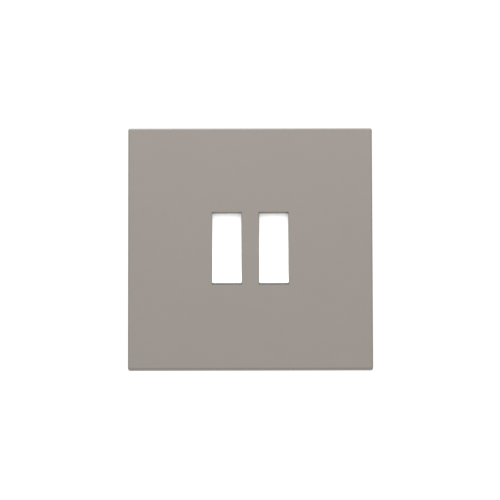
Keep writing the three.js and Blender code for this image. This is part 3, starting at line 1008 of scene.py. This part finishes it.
# ---- The steel frame, its clips and its seal ----
@dataclass
class Carrier:
    """The pressed frame with its stiffening beads, the four clips and the foam seal.

    Args:
        bead_radius: the radius of a bead's round.
        bead_height: how far it stands behind the sheet.
        groove_radius: the radius of the groove on the bead's other side.
        groove_shift: how far the groove's middle lies in front of the bead's.
        edge: the radius of the sheet's and the seal's edges.
        clip_edge: the radius of the clips' edges.
        beads: each bead's left end, right end and height up the frame.
    """

    bead_radius: float = 1.6 * MM
    bead_height: float = 0.7 * MM
    groove_radius: float = 1.44 * MM
    groove_shift: float = 0.9 * MM
    edge: float = 0.12 * MM
    clip_edge: float = 0.05 * MM
    beads: tuple[tuple[float, float, float], ...] = (
        (-24 * MM, 24 * MM, 31.5 * MM),
        (-26 * MM, -8 * MM, -31.5 * MM),
        (8 * MM, 26 * MM, -31.5 * MM),
    )

    def build(self) -> None:
        """Makes and dresses the frame's pieces."""
        sheet = Bench.copy_of("carrier_frame", "pressed_carrier")
        front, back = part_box("carrier_frame")[0].y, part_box("wall_gasket")[0].y
        reach = 2 * self.bead_radius
        for left, right, height in self.beads:
            middle = back + self.bead_height - self.bead_radius
            bead = self.bead(left, right, height, middle, self.bead_radius)
            centre, half = ((left + right) / 2, height), ((right - left) / 2 + reach, reach)
            Bench.cut(bead, Bench.slab("ahead", centre, half, (middle - reach, (front + back) / 2)))
            Bench.weld(sheet, bead)
            groove = self.bead(left, right, height, middle - self.groove_shift, self.groove_radius)
            Bench.cut(sheet, groove)
        Bench.tidy(sheet)
        Bench.soften(sheet, self.edge)
        fit_out(sheet, Stock.ZINC, FRAME_BODY, "carrier_frame")
        for row in ROWS:
            for side in SIDES:
                self.clip(f"plate_clip_{row}_{side}")
        seal = Bench.copy_of("wall_gasket", "foam_seal")
        Bench.soften(seal, self.edge)
        fit_out(seal, Stock.FOAM, FRAME_BODY, "wall_gasket")

    @staticmethod
    def bead(left: float, right: float, height: float, depth: float, radius: float) -> Piece:
        """Makes a round-ended bar for one bead."""
        Bench.clear()
        bpy.ops.mesh.primitive_uv_sphere_add(
            segments=24, ring_count=16, radius=radius, location=(left, depth, height),
            rotation=(0, math.pi / 2, 0),
        )
        bar = Bench.settle(bpy.context.object, "bead")
        Bench.mark(bar, lambda face: face.center.x > left)
        bpy.ops.mesh.separate(type="SELECTED")
        Bench.close()
        cap = next(piece for piece in bpy.context.selected_objects if piece is not bar)
        cap.location.x = right - left
        Bench.settle(cap, "bead_cap")
        bar.select_set(True)
        cap.select_set(True)
        bpy.context.view_layer.objects.active = bar
        bpy.ops.object.join()
        bpy.context.tool_settings.mesh_select_mode = (False, True, False)
        bpy.ops.object.mode_set(mode="EDIT")
        bpy.ops.mesh.select_all(action="DESELECT")
        bpy.ops.mesh.select_non_manifold()
        bpy.ops.mesh.bridge_edge_loops()
        bpy.ops.mesh.select_all(action="SELECT")
        bpy.ops.mesh.normals_make_consistent(inside=False)
        Bench.close()
        return bar

    def clip(self, node: str) -> None:
        """Rounds one clip's edges and dresses it."""
        clip = Bench.copy_of(node, f"sprung_{node}")
        Bench.soften(clip, self.clip_edge, sharpest=25)
        fit_out(clip, Stock.SPRING, FRAME_BODY, node)


# ---- The housing ----
@dataclass
class Housing:
    """The pale cover and the dark base behind it.

    Args:
        well: the radius of the holes over the clamp screws.
        case_well: the radius of the holes over the case screws.
        case_seat: how deep the case screws' heads sit, from the wall plane.
        wire_hole: the radius of the wire holes.
        funnel: the radius of a wire hole's mouth, and its depth.
        panel: the width, height and depth of the sunk panel on the back.
        panel_corner: the radius of the panel's corners.
        edge: the radius of the mouldings' edges.
        rib: the width and height of the ribs on the sides.
        rib_places: how far from the middle they stand, on the ends and on the sides.
        rib_ends: how far they stop short of the front and of the back.
    """

    well: float = 2.95 * MM
    case_well: float = 2.45 * MM
    case_seat: float = 8 * MM
    wire_hole: float = 1.95 * MM
    funnel: Span = (2.9 * MM, 1.2 * MM)
    panel: tuple[float, float, float] = (15 * MM, 17 * MM, 0.4 * MM)
    panel_corner: float = 1.2 * MM
    edge: float = 0.2 * MM
    rib: Span = (1.0 * MM, 0.45 * MM)
    rib_places: Span = (17 * MM, 13 * MM)
    rib_ends: Span = (2.5 * MM, 2 * MM)

    def build(self) -> None:
        """Makes and dresses both mouldings."""
        cover = Bench.copy_of("mechanism_cover", "rocker_well_cover")
        Bench.soften(cover, self.edge)
        fit_out(cover, Stock.COVER, FRAME_BODY, "mechanism_cover")
        base = Bench.copy_of("mechanism_base", "terminal_base")
        low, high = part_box("mechanism_base")
        self.smooth_holes(base, high)
        self.sink_panel(base, high)
        self.add_ribs(base, low, high)
        Bench.tidy(base)
        Bench.soften(base, self.edge)
        fit_out(base, Stock.BASE, FRAME_BODY, "mechanism_base")

    def smooth_holes(self, base: Piece, high: Vector) -> None:
        """Recuts the screw wells and the wire holes round, with a funnel at each wire hole's mouth."""
        for side in SIDES:
            for row in ROWS:
                middle = middle_of(f"case_screw_{row}_{side}")
                start = Vector((middle.x, self.case_seat, middle.z))
                Bench.cut(base, Bench.rod("well", start, Axis.INWARD, high.y, self.case_well))
            for kind in ("common", *ROWS):
                middle = middle_of(f"{kind}_screw_{side}")
                start = Vector((middle.x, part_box(f"{kind}_terminal_{side}")[1].y, middle.z))
                Bench.cut(base, Bench.rod("well", start, Axis.INWARD, high.y, self.well))
                self.wire_mouth(base, kind, side, middle)

    def wire_mouth(self, base: Piece, kind: str, side: str, middle: Vector) -> None:
        """Cuts one wire hole and its funnel in the wall nearest to its terminal."""
        low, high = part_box("mechanism_base")
        depth = WireWay.DEPTH
        if kind == "common":
            wall = high.x if side == "right" else low.x
            start, axis, way = Vector((wall, depth, 0)), Axis.ACROSS, math.copysign(1, wall)
        else:
            wall = high.z if kind == "upper" else low.z
            start, axis, way = Vector((middle.x, depth, wall)), Axis.UP, math.copysign(1, wall)
        along = Vector(axis.value)
        hole_start = start - along * 2 * MM
        Bench.cut(base, Bench.rod("wire_hole", hole_start, axis, 4 * MM, self.wire_hole))
        mouth, sink = self.funnel
        Bench.clear()
        turn = Vector((0, 0, 1)).rotation_difference(along * way).to_euler()
        bpy.ops.mesh.primitive_cone_add(
            vertices=48, radius1=self.wire_hole * 0.95, radius2=mouth + (mouth - self.wire_hole) * 0.1,
            depth=sink * 1.1, location=start - along * way * sink * 0.45, rotation=turn,
        )
        Bench.cut(base, Bench.settle(bpy.context.object, "funnel"))

    def sink_panel(self, base: Piece, high: Vector) -> None:
        """Sinks a plain panel into the middle of the back."""
        width, height, depth = self.panel
        panel = Bench.slab("panel", (0, 0), (width / 2, height / 2), (high.y - depth, high.y + MM))
        Bench.bevel_edges(panel, lambda a, b: abs(a.y - b.y) > depth / 2, self.panel_corner, 6)
        Bench.cut(base, panel)

    def add_ribs(self, base: Piece, low: Vector, high: Vector) -> None:
        """Adds the moulded ribs on the four sides."""
        width, height = self.rib
        depths = (low.y + self.rib_ends[0], high.y - self.rib_ends[1])
        across, up = self.rib_places
        for sign in (-1, 1):
            for wall in (low.z, high.z):
                middle = (sign * across, wall)
                Bench.weld(base, Bench.slab("rib", middle, (width / 2, height), depths))
            for wall in (low.x, high.x):
                middle = (wall, sign * up)
                Bench.weld(base, Bench.slab("rib", middle, (height, width / 2), depths))


class WireWay:
    """Where the wires run through the terminals."""

    DEPTH = 12.7 * MM
    EARTH_DEPTH = 4.4 * MM
    RADIUS = 1.84 * MM
    TAP_RADIUS = 1.77 * MM


# ---- Terminals ----
@dataclass
class Terminals:
    """The brass blocks with their straps and contact rivets.

    Args:
        edge: the radius of the blocks' edges.
        rivet: the radius of a fixed contact.
    """

    edge: float = 0.2 * MM
    rivet: float = 1.2 * MM

    def build(self) -> None:
        """Makes and dresses every terminal and its fixed contact."""
        for side in SIDES:
            self.terminal(f"common_terminal_{side}", Axis.ACROSS, WireWay.DEPTH, f"common_screw_{side}")
            for row in ROWS:
                self.terminal(f"{row}_terminal_{side}", Axis.UP, WireWay.DEPTH, f"{row}_screw_{side}")
                self.contact(f"fixed_tip_{row}_{side}", f"fixed_contact_{row}_{side}")
        self.terminal("earth_terminal", Axis.ACROSS, WireWay.EARTH_DEPTH, "earth_screw")

    def terminal(self, node: str, wire: Axis, depth: float, screw: str) -> None:
        """Recuts one terminal's wire and screw holes round, rounds its edges and dresses it."""
        block = Bench.copy_of(node, f"brass_{node}")
        centre = middle_of(screw)
        centre.y = depth
        along = Vector(wire.value)
        reach = 8 * MM
        Bench.cut(block, Bench.rod("wire", centre - along * reach, wire, 2 * reach, WireWay.RADIUS))
        Bench.cut(block, Bench.rod("tap", centre, Axis.INWARD, 3 * reach, WireWay.TAP_RADIUS))
        Bench.tidy(block)
        Bench.soften(block, self.edge)
        fit_out(block, Stock.BRASS, FRAME_BODY, node)

    def contact(self, node: str, name: str) -> None:
        """Turns one fixed contact, which faces the front."""
        low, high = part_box(node)
        middle = (low + high) / 2
        outline = [(r, -d) for r, d in BladeShape.dome(self.rivet, 0, high.y - low.y)]
        tip = Bench.turned(name, outline, Vector((middle.x, high.y, middle.z)), 32)
        Bench.shade(tip, 40)
        fit_out(tip, Stock.SILVER, FRAME_BODY, node)


# ---- Floor, light and camera ----
@dataclass(frozen=True)
class Softbox:
    """One square softbox that faces the switch.

    Args:
        name: the lamp's name.
        place: where it hangs.
        size: its side, in metres.
        power: its power, in watts.
    """

    name: str
    place: Colour
    size: float
    power: float

    def hang(self) -> None:
        """Adds the lamp, turned to the switch."""
        Bench.clear()
        bpy.ops.object.light_add(type="AREA", location=self.place)
        lamp = bpy.context.object
        lamp.name = self.name
        lamp.data.size = self.size
        lamp.data.energy = self.power
        lamp.rotation_euler = Vector(self.place).to_track_quat("Z", "Y").to_euler()


@dataclass
class Studio:
    """A pale floor well below the wall switch, an even white surround, soft lamps and the camera.

    Args:
        floor_drop: how far the floor is below the switch.
        floor_size: how wide the floor is.
        floor_tone: the floor's brightness.
        surround: the strength of the white surround.
        distance: how far the camera is from the plate.
        elevation: how high the camera stands, in degrees; it looks up from below.
        azimuth: how far round the camera stands, in degrees.
        lens: the camera's lens, in millimetres.
        aim: how far the camera aims from the plate's middle, across and up.
        roll: how far the camera is rolled, in degrees.
        lamps: the softboxes.
    """

    floor_drop: float = 0.6
    floor_size: float = 14.0
    floor_tone: float = 0.95
    surround: float = 1.06
    distance: float = 2.0
    elevation: float = -9.7
    azimuth: float = 0.0
    lens: float = 409.4
    aim: Span = (-0.11 * MM, -0.66 * MM)
    roll: float = -0.12
    lamps: tuple[Softbox, ...] = (
        Softbox("front_softbox", (0.0, -0.33, 0.3), 0.4, 1.5),
        Softbox("overhead_softbox", (0.0, -0.1, 0.5), 0.2, 3.0),
        Softbox("low_front_softbox", (0.0, -0.8, -0.2), 0.3, 1.8),
    )

    def build(self) -> None:
        """Sets up everything around the switch."""
        self.floor()
        self.world()
        for lamp in self.lamps:
            lamp.hang()
        self.camera()
        bpy.context.scene.view_settings.view_transform = "Standard"
        bpy.context.scene.view_settings.look = "None"

    def floor(self) -> None:
        """Lays the floor."""
        Bench.clear()
        bpy.ops.mesh.primitive_plane_add(size=self.floor_size, location=(0, 0, -self.floor_drop))
        floor = bpy.context.object
        floor.name = "studio_floor"
        board = NodeBoard("pale_floor")
        tone = (self.floor_tone,) * 3
        darker = (self.floor_tone * 0.985,) * 3
        board.link(board.blend(board.noise(0.4), darker, tone), board.shader.inputs["Base Color"])
        board.shader.inputs["Roughness"].default_value = 0.9
        floor.data.materials.append(board.material)

    def world(self) -> None:
        """Makes the white surround."""
        world = bpy.data.worlds.new("white_surround")
        bpy.context.scene.world = world
        world.use_nodes = True
        background = world.node_tree.nodes["Background"]
        background.inputs["Color"].default_value = (1.0, 1.0, 1.0, 1.0)
        background.inputs["Strength"].default_value = self.surround

    def camera(self) -> None:
        """Places the camera."""
        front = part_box("face_plate")[0].y
        target = Vector((self.aim[0], front, self.aim[1]))
        across, up = math.radians(self.azimuth), math.radians(self.elevation)
        back = Vector((math.sin(across) * math.cos(up), -math.cos(across) * math.cos(up), math.sin(up)))
        Bench.clear()
        bpy.ops.object.camera_add(location=target + back * self.distance)
        camera = bpy.context.object
        camera.name = "front_camera"
        facing = back.to_track_quat("Z", "Y").to_matrix()
        camera.rotation_euler = (facing @ Matrix.Rotation(math.radians(self.roll), 3, "Z")).to_euler()
        camera.data.lens = self.lens
        camera.data.sensor_width = 36.0
        camera.data.clip_end = 50.0
        bpy.context.scene.camera = camera


def main() -> None:
    """Builds every sub-assembly in order."""
    logging.basicConfig(level=logging.INFO, format="%(name)s: %(message)s")
    Studio().build()
    CoverPlate().build()
    for side in SIDES:
        Gang(side).build()
    Carrier().build()
    Housing().build()
    Terminals().build()
    Screws().build()
    Bench.clear()


if __name__ == "__main__":
    main()
